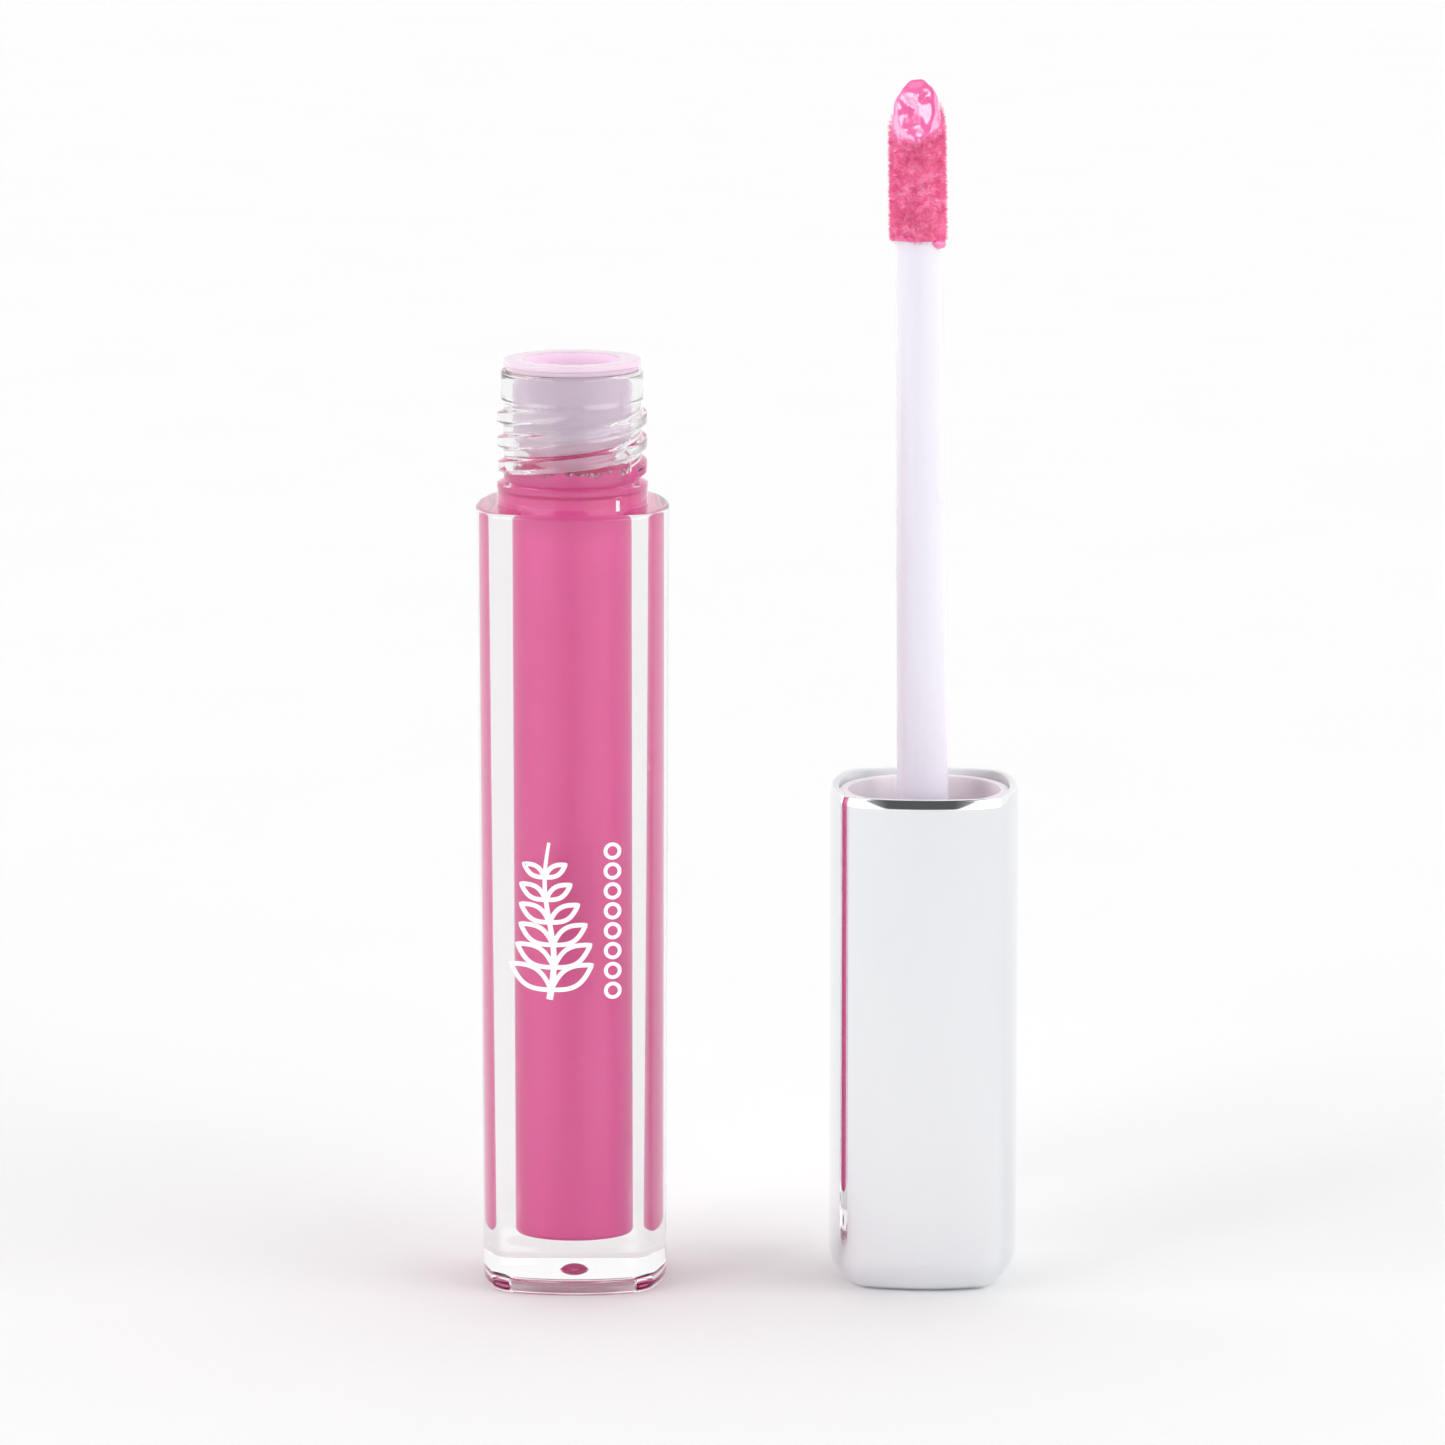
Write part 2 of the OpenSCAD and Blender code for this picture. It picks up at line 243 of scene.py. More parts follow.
def strip_geometry(rings, close_start=True, close_end=True, loop=False):
    """Vertices and faces of a skin over rings of (radius, angle, z), closed to the axis at its ends."""
    count = len(rings[0])
    vertices = [(r * math.cos(a), r * math.sin(a), z) for ring in rings for r, a, z in ring]
    faces = []
    pairs = list(zip(range(len(rings) - 1), range(1, len(rings))))
    if loop:
        pairs.append((len(rings) - 1, 0))
    for i, k in pairs:
        for j in range(count):
            n = (j + 1) % count
            faces.append((i * count + j, i * count + n, k * count + n, k * count + j))
    ends = [(close_start, 0), (close_end, len(rings) - 1)]
    for wanted, row in ends:
        if wanted and not loop:
            vertices.append((0, 0, rings[row][0][2]))
            hub = len(vertices) - 1
            faces += [(hub, row * count + j, row * count + (j + 1) % count) for j in range(count)]
    return vertices, faces


def lathe_rings(profile, count=160):
    angles = [TAU * i / count for i in range(count)]
    return [round_ring(r, z, angles) for r, z in profile]


def rounded(profile, radius, steps=4):
    """A closed (r, z) outline with each corner rounded by up to radius."""
    out = []
    for i, here in enumerate(profile):
        before, after = Vector(profile[i - 1]), Vector(profile[(i + 1) % len(profile)])
        here = Vector(here)
        reach_in = min(radius, (before - here).length * 0.45)
        reach_out = min(radius, (after - here).length * 0.45)
        start = here + (before - here).normalized() * reach_in
        end = here + (after - here).normalized() * reach_out
        for k in range(steps + 1):
            t = k / steps
            p = start * (1 - t) ** 2 + here * 2 * t * (1 - t) + end * t**2
            out.append((p.x, p.y))
    return out


def smooth_step(edge_0, edge_1, value):
    t = min(max((value - edge_0) / (edge_1 - edge_0), 0), 1)
    return t * t * (3 - 2 * t)


# ---------------------------------------------------------------- materials


def new_material(name):
    material = bpy.data.materials.new(name)
    material.use_nodes = True
    tree = material.node_tree
    return material, tree, tree.nodes["Principled BSDF"]


def noise_node(tree, scale, detail=4.0, stretch=(1, 1, 1)):
    """Noise over the object's own coordinates, in metres, with a stretch along each axis."""
    places = tree.nodes.new("ShaderNodeTexCoord")
    mapping = tree.nodes.new("ShaderNodeMapping")
    mapping.inputs["Scale"].default_value = stretch
    texture = tree.nodes.new("ShaderNodeTexNoise")
    texture.inputs["Scale"].default_value = scale
    texture.inputs["Detail"].default_value = detail
    tree.links.new(places.outputs["Object"], mapping.inputs["Vector"])
    tree.links.new(mapping.outputs["Vector"], texture.inputs["Vector"])
    return texture


def colour_ramp(tree, source, stops):
    ramp = tree.nodes.new("ShaderNodeValToRGB")
    while len(ramp.color_ramp.elements) < len(stops):
        ramp.color_ramp.elements.new(0.5)
    for element, (place, colour) in zip(ramp.color_ramp.elements, stops):
        element.position = place
        element.color = (*colour, 1)
    tree.links.new(source, ramp.inputs["Fac"])
    return ramp


def roughness_range(tree, source, shader, low, high):
    scaled = tree.nodes.new("ShaderNodeMapRange")
    scaled.inputs["To Min"].default_value = low
    scaled.inputs["To Max"].default_value = high
    tree.links.new(source, scaled.inputs["Value"])
    tree.links.new(scaled.outputs["Result"], shader.inputs["Roughness"])


def add_bump(tree, source, shader, strength, distance):
    bump = tree.nodes.new("ShaderNodeBump")
    bump.inputs["Strength"].default_value = strength
    bump.inputs["Distance"].default_value = distance
    tree.links.new(source, bump.inputs["Height"])
    tree.links.new(bump.outputs["Normal"], shader.inputs["Normal"])


def clear_plastic():
    """Thick clear moulded plastic: a trace of flow lines in the surface and an even, nearly neutral tint."""
    material, tree, shader = new_material("clear_plastic")
    flow = noise_node(tree, 60, 2, (1, 1, 0.25))
    tint = colour_ramp(tree, flow.outputs["Fac"], [(0.3, (0.9, 0.905, 0.91)), (0.7, (0.915, 0.92, 0.92))])
    tree.links.new(tint.outputs["Color"], shader.inputs["Base Color"])
    shader.inputs["Transmission Weight"].default_value = 1
    shader.inputs["IOR"].default_value = 1.5
    roughness_range(tree, flow.outputs["Fac"], shader, 0.0, 0.012)
    add_bump(tree, flow.outputs["Fac"], shader, 0.05, 0.0001)
    return material


def soft_plastic(name, light, dark, transmission, roughness, subsurface=0.0, scale=150):
    """Soft moulded plastic with slight unevenness in its colour and sheen."""
    material, tree, shader = new_material(name)
    cloud = noise_node(tree, scale, 4, (1, 1, 0.5))
    tint = colour_ramp(tree, cloud.outputs["Fac"], [(0.35, dark), (0.65, light)])
    tree.links.new(tint.outputs["Color"], shader.inputs["Base Color"])
    shader.inputs["Transmission Weight"].default_value = transmission
    shader.inputs["IOR"].default_value = 1.47
    shader.inputs["Subsurface Weight"].default_value = subsurface
    shader.inputs["Subsurface Radius"].default_value = (1, 0.8, 0.9)
    shader.inputs["Subsurface Scale"].default_value = 0.002
    roughness_range(tree, cloud.outputs["Fac"], shader, roughness * 0.8, roughness * 1.2)
    grain = noise_node(tree, 2500, 2)
    add_bump(tree, grain.outputs["Fac"], shader, 0.08, 0.00002)
    return material


def gloss_fluid(name, light, dark, roughness, coat, grain=0.0):
    """Opaque pink fluid with faint streaks of its pigment and an even wet sheen."""
    material, tree, shader = new_material(name)
    streak = noise_node(tree, 220, 5, (1, 1, 0.12))
    tint = colour_ramp(tree, streak.outputs["Fac"], [(0.3, dark), (0.7, light)])
    tree.links.new(tint.outputs["Color"], shader.inputs["Base Color"])
    shader.inputs["Subsurface Weight"].default_value = 0.15
    shader.inputs["Subsurface Radius"].default_value = (1, 0.35, 0.6)
    shader.inputs["Subsurface Scale"].default_value = 0.0008
    shader.inputs["IOR"].default_value = 1.47
    shader.inputs["Specular IOR Level"].default_value = 1.0
    shader.inputs["Coat Weight"].default_value = coat
    shader.inputs["Coat Roughness"].default_value = 0.03
    roughness_range(tree, streak.outputs["Fac"], shader, roughness * 0.8, roughness * 1.2)
    if grain:
        beads = noise_node(tree, 4200, 2)
        add_bump(tree, beads.outputs["Fac"], shader, grain, 0.00004)
    return material


def mirror_silver():
    """Vacuum-metallised plastic: a bright mirror with the faint waviness of the moulding under it."""
    material, tree, shader = new_material("mirror_silver")
    wave = noise_node(tree, 90, 2, (1, 1, 0.3))
    tint = colour_ramp(tree, wave.outputs["Fac"], [(0.3, (0.825, 0.832, 0.86)), (0.7, (0.865, 0.872, 0.895))])
    tree.links.new(tint.outputs["Color"], shader.inputs["Base Color"])
    shader.inputs["Metallic"].default_value = 1
    roughness_range(tree, wave.outputs["Fac"], shader, 0.02, 0.05)
    add_bump(tree, wave.outputs["Fac"], shader, 0.05, 0.0001)
    return material


def flock_fibre():
    """Nylon flock soaked with gloss: each fibre's pink changes a little along the tip."""
    material, tree, shader = new_material("flock_fibre")
    clump = noise_node(tree, 1300, 4)
    tint = colour_ramp(
        tree,
        clump.outputs["Fac"],
        [(0.3, (0.8, 0.12, 0.33)), (0.5, (0.93, 0.24, 0.49)), (0.7, (0.98, 0.46, 0.68))],
    )
    tree.links.new(tint.outputs["Color"], shader.inputs["Base Color"])
    shader.inputs["Sheen Weight"].default_value = 0.3
    shader.inputs["Sheen Roughness"].default_value = 0.4
    shader.inputs["Subsurface Weight"].default_value = 0.1
    shader.inputs["Subsurface Scale"].default_value = 0.0004
    roughness_range(tree, clump.outputs["Fac"], shader, 0.3, 0.5)
    return material


def white_ink():
    """Opaque white screen print with a slightly uneven film."""
    material, tree, shader = new_material("white_ink")
    film = noise_node(tree, 900, 3)
    tint = colour_ramp(tree, film.outputs["Fac"], [(0.3, (0.9, 0.9, 0.9)), (0.7, (0.97, 0.97, 0.97))])
    tree.links.new(tint.outputs["Color"], shader.inputs["Base Color"])
    roughness_range(tree, film.outputs["Fac"], shader, 0.35, 0.5)
    return material


CLEAR = clear_plastic()
WIPER = soft_plastic("wiper_plastic", (0.98, 0.81, 0.94), (0.97, 0.72, 0.9), 0.0, 0.16, 0.3, 90)
# Painted shade: a darker, greyer copy of the wiper's pink for its part above the neck, which faces up into the
# bright light.
WIPER_RIM_SHADED = soft_plastic("wiper_rim_shaded", (0.76, 0.63, 0.72), (0.75, 0.53, 0.67), 0.0, 0.16, 0.3, 90)
WHITE = soft_plastic("white_plastic", (0.96, 0.95, 0.975), (0.95, 0.84, 0.91), 0.0, 0.3, 0.3, 70)
LINING = soft_plastic("shell_lining", (0.8, 0.82, 0.84), (0.76, 0.78, 0.79), 0.0, 0.3, 0.1)
STEM = soft_plastic("stem_plastic", (0.745, 0.735, 0.79), (0.72, 0.69, 0.765), 0.0, 0.25, 0.4, 60)
CORE = soft_plastic("core_plastic", (0.85, 0.5, 0.68), (0.8, 0.42, 0.6), 0.0, 0.5)
FOAM = soft_plastic("gasket_foam", (0.85, 0.83, 0.82), (0.75, 0.73, 0.72), 0.0, 0.7, 0.2, 1500)
GLOSS = gloss_fluid("gloss_fluid", (0.97, 0.08, 0.385), (0.94, 0.065, 0.35), 0.3, 0.0)
WET = gloss_fluid("wet_gloss", (0.9, 0.16, 0.42), (0.86, 0.13, 0.38), 0.15, 1.0, 0.5)
FROTH = gloss_fluid("gloss_froth", (0.95, 0.62, 0.78), (0.92, 0.5, 0.7), 0.2, 1.0)
SILVER = mirror_silver()
FLOCK = flock_fibre()
INK = white_ink()


def dress(piece, material, body, slot, *nodes):
    """Gives a piece its material and body, and hides the CAD nodes it stands for; the slot argument is not
    used.
    """
    piece.data.materials.clear()
    piece.data.materials.append(material)
    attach(piece, body)
    if nodes:
        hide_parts(*nodes)
    return piece


# ---------------------------------------------------------------- bottle


def thread_height(angle, z, start_z, phase):
    """How far the two helical ridges stand out at a place on the neck, from 0 to 1."""
    best = 0.0
    for k in range(THREAD_STARTS):
        first = phase + TAU * k / THREAD_STARTS
        behind = (angle - first) % TAU
        for lap in range(int(THREAD_TURNS) + 2):
            turned = behind + TAU * lap
            if turned > THREAD_TURNS * TAU:
                continue
            off = abs(z - start_z - THREAD_LEAD * turned / TAU)
            rise = 1 - smooth_step(0.38, 0.76, off)
            run_in = min(turned, THREAD_TURNS * TAU - turned) / (TAU / 12)
            best = max(best, rise * smooth_step(0, 1, run_in))
    return best


def neck_rings():
    """Rings up the outside of the neck: collar with its stop lug, two-start thread and plain band."""
    rings = []
    low, high = SHOULDER_Z, NECK_TOP
    rows = 110
    for i in range(rows + 1):
        z = low + (high - low) * i / rows
        ring = []
        for a in SPOKES:
            over_collar = 1 - smooth_step(low + COLLAR_H - 0.35, low + COLLAR_H, z)
            over_band = smooth_step(high - BAND_H - 0.15, high - BAND_H + 0.1, z)
            rim = smooth_step(high - 0.18, high, z) * 0.12
            r = NECK_R + (COLLAR_R - NECK_R) * over_collar + (BAND_R - NECK_R) * over_band - rim
            r = max(r, NECK_R + THREAD_DEPTH * thread_height(a, z, low + THREAD_START_H, THREAD_START_TURN))
            across = abs((a - STOP_LUG_TURN + math.pi) % TAU - math.pi) * COLLAR_R
            lug = (1 - smooth_step(0.24, 0.36, across)) * (1 - smooth_step(1.0, 1.15, z - low))
            ring.append((r + 0.3 * lug, a, z))
        rings.append(ring)
    return rings


def make_bottle():
    rings = []
    dome_r = (DIMPLE_R**2 + DIMPLE_DEPTH**2) / (2 * DIMPLE_DEPTH)
    dome_reach = math.asin(DIMPLE_R / dome_r)
    for i in range(1, 13):
        t = dome_reach * i / 12
        drop = dome_r * (1 - math.cos(t))
        rings.append(round_ring(dome_r * math.sin(t), RECESS_DEPTH + DIMPLE_DEPTH - drop))
    rings.append(round_ring(DIMPLE_R + 0.1, RECESS_DEPTH))
    rings.append(round_ring(DIMPLE_R + 1.5, RECESS_DEPTH))
    for inset, z in fillet((FOOT_RING_W + 0.3, RECESS_DEPTH), (FOOT_RING_W, RECESS_DEPTH - 0.3), 5, False):
        rings.append(body_ring(FOOT_HALF, inset, z))
    for inset, z in fillet((FOOT_RING_W, 0.2), (FOOT_RING_W - 0.2, 0), 4):
        rings.append(body_ring(FOOT_HALF, inset, z))
    for inset, z in fillet((FOOT_EDGE * 0.5, 0), (0, FOOT_EDGE), 8):
        rings.append(body_ring(FOOT_HALF, inset, z))
    top_z = SHOULDER_Z - SHOULDER_EDGE
    for i in range(1, 40):
        t = i / 40
        half = FOOT_HALF + (SHOULDER_HALF - FOOT_HALF) * t
        rings.append(body_ring(half, 0, FOOT_EDGE + (top_z - FOOT_EDGE) * t))
    for inset, z in fillet((0, top_z), (SHOULDER_EDGE, SHOULDER_Z), 6, False):
        rings.append(body_ring(SHOULDER_HALF, inset, z))
    rings.append(round_ring(COLLAR_R + 0.15, SHOULDER_Z))
    rings += neck_rings()
    rings.append(round_ring(NECK_BORE_R + 0.1, NECK_TOP))
    rings.append(round_ring(NECK_BORE_R, NECK_TOP - 0.1))
    for i in range(1, 12):
        rings.append(round_ring(NECK_BORE_R, NECK_TOP + (CAVITY_TOP - NECK_TOP) * i / 12))
    rings.append(round_ring(NECK_BORE_R, CAVITY_TOP + STEP_EDGE))
    rings.append(round_ring(CAVITY_R, CAVITY_TOP - STEP_EDGE))
    for i in range(1, 20):
        rings.append(round_ring(CAVITY_R, CAVITY_TOP + (BASE_T + FLOOR_EDGE - CAVITY_TOP) * i / 20))
    for inset, z in fillet((0, BASE_T + FLOOR_EDGE), (FLOOR_EDGE, BASE_T), 5, False):
        rings.append(round_ring(CAVITY_R - inset, z))
    vertices, faces = strip_geometry(rings)
    return mesh_object("bottle_clear", vertices, faces, BOTTLE_TURN, 0, math.radians(50))


def make_gloss():
    """Gloss that wets the wall: its skin lies a hair inside the plastic, so no air shows between them."""
    wet = 0.02
    profile = [(0.6, BASE_T - wet), (2.5, BASE_T - wet)] + [
        (CAVITY_R + wet - inset, z - wet)
        for inset, z in reversed(fillet((0, BASE_T + FLOOR_EDGE), (FLOOR_EDGE, BASE_T), 5, False))
    ]
    step_top = CAVITY_TOP + STEP_EDGE
    profile += [(CAVITY_R + wet, BASE_T + (CAVITY_TOP - BASE_T) * i / 12) for i in range(2, 12)]
    profile += [(CAVITY_R + wet, CAVITY_TOP - STEP_EDGE), (NECK_BORE_R + wet, step_top)]
    rings = lathe_rings(profile, 192)
    angles = [a for _, a, _ in rings[0]]
    levels = 10
    for i in range(1, levels + 1):
        ring = []
        for a in angles:
            ragged = noise.noise(Vector((3 * math.cos(a), 3 * math.sin(a), 4.2)))
            ragged += 0.6 * noise.noise(Vector((9 * math.cos(a), 9 * math.sin(a), 1.7)))
            level = GLOSS_LEVEL - 0.3 + 0.5 * ragged
            ring.append((NECK_BORE_R + wet, a, step_top + (level - step_top) * i / levels))
        rings.append(ring)
    top = [z for _, _, z in rings[-1]]
    rings.append([(NECK_BORE_R - 0.3, a, z - 0.15) for a, z in zip(angles, top)])
    slope = (NECK_BORE_R - LAND_OUTER_R) / CONE_LEN
    cone_ring = [(max(z - 0.2 - LAND_TOP, 0) * slope, a, z - 0.2) for a, z in zip(angles, top)]
    rings.append([(LAND_OUTER_R + out + wet, a, z) for out, a, z in cone_ring])
    rings.append(round_ring(LAND_OUTER_R + wet, LAND_TOP, angles))
    rings.append(round_ring(LAND_OUTER_R + wet, LAND_END + 0.4, angles))
    rings.append(round_ring(LAND_OUTER_R - 0.2, LAND_END - 1, angles))
    rings.append(round_ring(1.6, HOLLOW_END + 0.3, angles))
    rings.append(round_ring(0.6, HOLLOW_END, angles))
    vertices, faces = strip_geometry(rings)
    return mesh_object("gloss_in_bottle", vertices, faces)


def make_froth():
    """The row of tiny air bubbles that sits in the gloss's edge, against the neck's bore."""
    rng = random.Random(3)
    parts = []
    ball = lathe_rings([(math.sin(math.pi * i / 8), math.cos(math.pi * i / 8)) for i in range(1, 8)], 12)
    for _ in range(190):
        a = rng.random() * TAU
        size = rng.uniform(0.05, 0.13)
        z = GLOSS_LEVEL - 0.25 + rng.gauss(0, 0.16)
        r = NECK_BORE_R - size * 0.8
        place = (r * math.cos(a), r * math.sin(a), z)
        vertices, faces = strip_geometry(ball)
        vertices[-2], vertices[-1] = (0, 0, 1), (0, 0, -1)
        parts.append(([tuple(size * v + p for v, p in zip(vertex, place)) for vertex in vertices], faces))
    vertices, faces = join_geometry(parts)
    return mesh_object("gloss_froth", vertices, faces, 0, 0, math.pi)


def make_wiper():
    profile = [
        (MOUTH_R, FLANGE_TOP), (FLANGE_R, FLANGE_TOP), (FLANGE_R, FLANGE_TOP - 0.5),
        (FLANGE_R - 0.2, FLANGE_TOP - 0.6), (FLANGE_R - 0.2, NECK_TOP), (NECK_BORE_R, NECK_TOP),
        (NECK_BORE_R - 0.02, SLEEVE_END), (LAND_OUTER_R, LAND_TOP), (LAND_OUTER_R, LAND_END),
        (ORIFICE_R, LAND_END), (ORIFICE_R, LAND_TOP), (MOUTH_R, SLEEVE_END + SLEEVE_WALL),
    ]
    vertices, faces = strip_geometry(lathe_rings(rounded(profile, 0.14), 192), loop=True)
    return mesh_object("wiper_plug", vertices, faces, 0, 0, math.radians(60))


def paint_rim_shade(wiper):
    """The part of the wiper above the neck gets a darker, greyer copy of its pink: painted shade that tones
    down the bright light it catches from above.
    """
    wiper.data.materials.append(WIPER_RIM_SHADED)
    for face in wiper.data.polygons:
        if face.center.z > (NECK_TOP - 0.05) * MM:
            face.material_index = 1


# ---------------------------------------------------------------- applicator


def make_shell():
    rim_roll = 0.95
    rings = [cap_ring(CAP_EDGE + 3, 0)]
    for inset, z in fillet((CAP_EDGE, 0), (0, CAP_EDGE), 16):
        rings.append(cap_ring(inset, z))
    straight_top = CAP_H - rim_roll
    for i in range(1, 16):
        rings.append(cap_ring(0, CAP_EDGE + (straight_top - CAP_EDGE) * i / 15))
    for i in range(1, 9):
        t = i / 8
        rings.append(cap_ring(0.16 * t**1.6, straight_top + (rim_roll - 0.12) * t))
    for inset, z in fillet((0.16, CAP_H - 0.12), (0.28, CAP_H), 4, False):
        rings.append(cap_ring(inset, z))
    for inset, z in fillet((SHELL_WALL - 0.15, CAP_H), (SHELL_WALL, CAP_H - 0.15), 4):
        rings.append(cap_ring(inset, z))
    for i in range(1, 9):
        rings.append(cap_ring(SHELL_WALL, CAP_H - 0.15 + (2.3 - CAP_H) * i / 8))
    rings.append(cap_ring(SHELL_WALL + 0.4, 2))
    vertices, faces = strip_geometry(rings)
    return mesh_object("cap_shell", vertices, faces, CAP_TURN, CAP_X, math.radians(40))


def line_shell(shell):
    """The silver covers only the shell's outside: its rim and its inside are bare plastic."""
    shell.data.materials.append(LINING)
    for face in shell.data.polygons:
        top = face.center.z > (CAP_H - 0.02) * MM
        away = Vector((face.center.x - CAP_X * MM, face.center.y, 0))
        if top or (face.center.z > 1.5 * MM and face.normal.dot(away) < 0):
            face.material_index = 1


def helix_ridge(root_r, out, start_z, phase, count=150):
    """A rounded helical ridge on the socket's wall."""
    section = [(-0.2, -0.55), (0.5, -0.36), (0.92, -0.2), (1, 0), (0.92, 0.2), (0.5, 0.36), (-0.2, 0.55)]
    vertices, faces = [], []
    wide = len(section)
    for i in range(count + 1):
        turned = THREAD_TURNS * TAU * i / count
        ramp = smooth_step(0, 1, min(i, count - i) / 10)
        for share, dz in section:
            depth = share * ramp if share > 0 else share
            r = root_r + out * depth
            a = phase + turned
            vertices.append((r * math.cos(a), r * math.sin(a), start_z + THREAD_LEAD * turned / TAU + dz))
    for i in range(count):
        for j in range(wide):
            n = (j + 1) % wide
            faces.append((i * wide + j, i * wide + n, (i + 1) * wide + n, (i + 1) * wide + j))
    faces.append(tuple(range(wide)))
    faces.append(tuple(count * wide + j for j in range(wide)))
    return vertices, faces


def block_geometry(low, high, turn):
    """A box in radial coordinates, from low to high (radius, across, z), turned about the axis."""
    c, s = math.cos(turn), math.sin(turn)
    corners = [(x, y, z) for z in (low[2], high[2]) for y in (low[1], high[1]) for x in (low[0], high[0])]
    vertices = [(x * c - y * s, x * s + y * c, z) for x, y, z in corners]
    return vertices, [(0, 1, 3, 2), (4, 6, 7, 5), (0, 4, 5, 1), (2, 3, 7, 6), (0, 2, 6, 4), (1, 5, 7, 3)]


def join_geometry(parts):
    vertices, faces = [], []
    for some_vertices, some_faces in parts:
        offset = len(vertices)
        vertices += some_vertices
        faces += [tuple(i + offset for i in face) for face in some_faces]
    return vertices, faces


def add_bevel(piece, width, segments=3, angle=math.radians(50)):
    bevel = piece.modifiers.new("soft_edges", "BEVEL")
    bevel.width = width * MM
    bevel.segments = segments
    bevel.limit_method = "ANGLE"
    bevel.angle_limit = angle
    return bevel


def make_inner_cap():
    tube = rounded([
        (SOCKET_R, INNER_RIM), (INNER_R, INNER_RIM), (INNER_R, DECK_END), (BOSS_R, DECK_END),
        (BOSS_R, PLUG_END - 1), (0.4, PLUG_END - 1), (0.4, PLUG_END), (STEM_BASE_R, PLUG_END),
        (STEM_BASE_R, DECK_TOP), (SOCKET_R, DECK_TOP),
    ], 0.15)
    parts = [strip_geometry(lathe_rings(tube, 160), loop=True)]
    sunk_r = INNER_R - 0.3
    plate_z = (DECK_END, DECK_END + PLATE_T)
    plate = [round_ring(sunk_r, plate_z[0])]
    plate += [cap_ring(SHELL_WALL + SLIP, z) for z in plate_z]
    plate.append(round_ring(sunk_r, plate_z[1]))
    parts.append(strip_geometry(plate, False, False))
    closed_h = SHOULDER_Z + CAP_GAP + CAP_H
    first = SHOULDER_Z + THREAD_START_H + THREAD_LEAD / 4 + THREAD_TURNS * THREAD_LEAD
    for k in range(THREAD_STARTS):
        phase = math.pi - THREAD_START_TURN - THREAD_TURNS * TAU + TAU * k / THREAD_STARTS
        parts.append(helix_ridge(SOCKET_R, -0.38, closed_h - first, phase))
    corner = corner_centre(CAP_HALF, CAP_CORNER_R, CAP_BULGE_R)
    bend_r = CAP_CORNER_R - SHELL_WALL - SLIP
    reach = corner * math.sqrt(2) + math.sqrt(bend_r**2 - (RIB_W / 2) ** 2)
    for k in range(4):
        low, high = (sunk_r, -RIB_W / 2, DECK_END), (reach, RIB_W / 2, INNER_RIM - RIB_RECESS)
        parts.append(block_geometry(low, high, TAU * (k + 0.5) / 4))
    vertices, faces = join_geometry(parts)
    piece = mesh_object("inner_cap_white", vertices, faces, CAP_TURN, CAP_X, math.radians(40))
    add_bevel(piece, 0.1)
    return piece


def make_gasket():
    outer, inner = 6.15, STEM_BASE_R + 0.2
    low, high = gasket_low.z, gasket_high.z
    profile = rounded([(inner, high), (outer, high), (outer, low), (inner, low)], 0.2)
    vertices, faces = strip_geometry(lathe_rings(profile, 128), loop=True)
    return mesh_object("gasket_ring", vertices, faces, 0, CAP_X, math.radians(60))


def make_stem():
    chamfer = 0.15
    profile = [(0.8, PLUG_END), (STEM_BASE_R - chamfer, PLUG_END)]
    profile += [(STEM_BASE_R, PLUG_END + chamfer), (STEM_BASE_R, DECK_TOP)]
    steps = 40
    for i in range(1, steps + 1):
        t = i / steps
        profile.append((STEM_BASE_R + (STEM_TIP_R - STEM_BASE_R) * t, DECK_TOP + (TIP_END - DECK_TOP) * t))
    profile.append((1.2, TIP_END))
    vertices, faces = strip_geometry(lathe_rings(profile, 96))
    return mesh_object("wand_stem_smooth", leaned(vertices), faces, 0, CAP_X, math.radians(50))


def leaned(vertices):
    """The stem is a little out of upright: the higher a point, the further it lies towards the bottle."""
    return [(x - LEAN * max(z - DECK_TOP, 0), y, z) for x, y, z in vertices]


def cut_to_facet(x, y, z, depth, softness):
    """Presses a point back to the slanted face, depth below the outermost one, with a soft edge."""
    out = Vector((math.cos(FACET_TURN), math.sin(FACET_TURN), 0))
    normal = out * math.cos(FACET_ANGLE) + Vector((0, 0, math.sin(FACET_ANGLE)))
    foot = out * TIP_R + Vector((0, 0, TIP_TOP - FACET_LEN))
    point = Vector((x, y, z))
    over = (point - foot).dot(normal) + depth
    push = softness * math.log1p(math.exp(min(over / softness, 30)))
    return point - normal * push


def tip_geometry(radius, top, depth, softness, start_z, rows=70, count=96):
    """The doe-foot form: a round-nosed rod pressed flat on its slanted face."""
    profile = [(radius * 0.6, start_z), (radius - 0.12, start_z), (radius, start_z + 0.12)]
    straight_top = top - TIP_NOSE
    for i in range(1, 30):
        profile.append((radius, start_z + 0.12 + (straight_top - start_z - 0.12) * i / 29))
    for i in range(1, rows - 30):
        t = TAU / 4 * i / (rows - 30)
        profile.append((radius * math.cos(t), straight_top + TIP_NOSE * math.sin(t)))
    rings = lathe_rings(profile, count)
    vertices, faces = strip_geometry(rings)
    vertices[-1] = (0, 0, top)
    return [tuple(cut_to_facet(*v, depth, softness)) for v in vertices], faces


def make_tip_core():
    vertices, faces = tip_geometry(TIP_R - FLOCK_T, TIP_TOP - FLOCK_T, FLOCK_T + COAT_T, 0.12, TIP_END)
    return mesh_object("tip_core_smooth", leaned(vertices), faces, 0, CAP_X)


def above_coat_edge(point):
    """Height of a point above the wet gloss's ragged lower edge, which hangs lowest on the slanted face."""
    x, y, z = point
    facing = math.cos(math.atan2(y, x) - FACET_TURN)
    ragged = 0.5 * noise.noise(Vector(point) * 0.9) + 0.3 * noise.noise(Vector(point) * 2.6)
    return z - (TIP_TOP - 3.9 - 1.9 * facing + ragged)


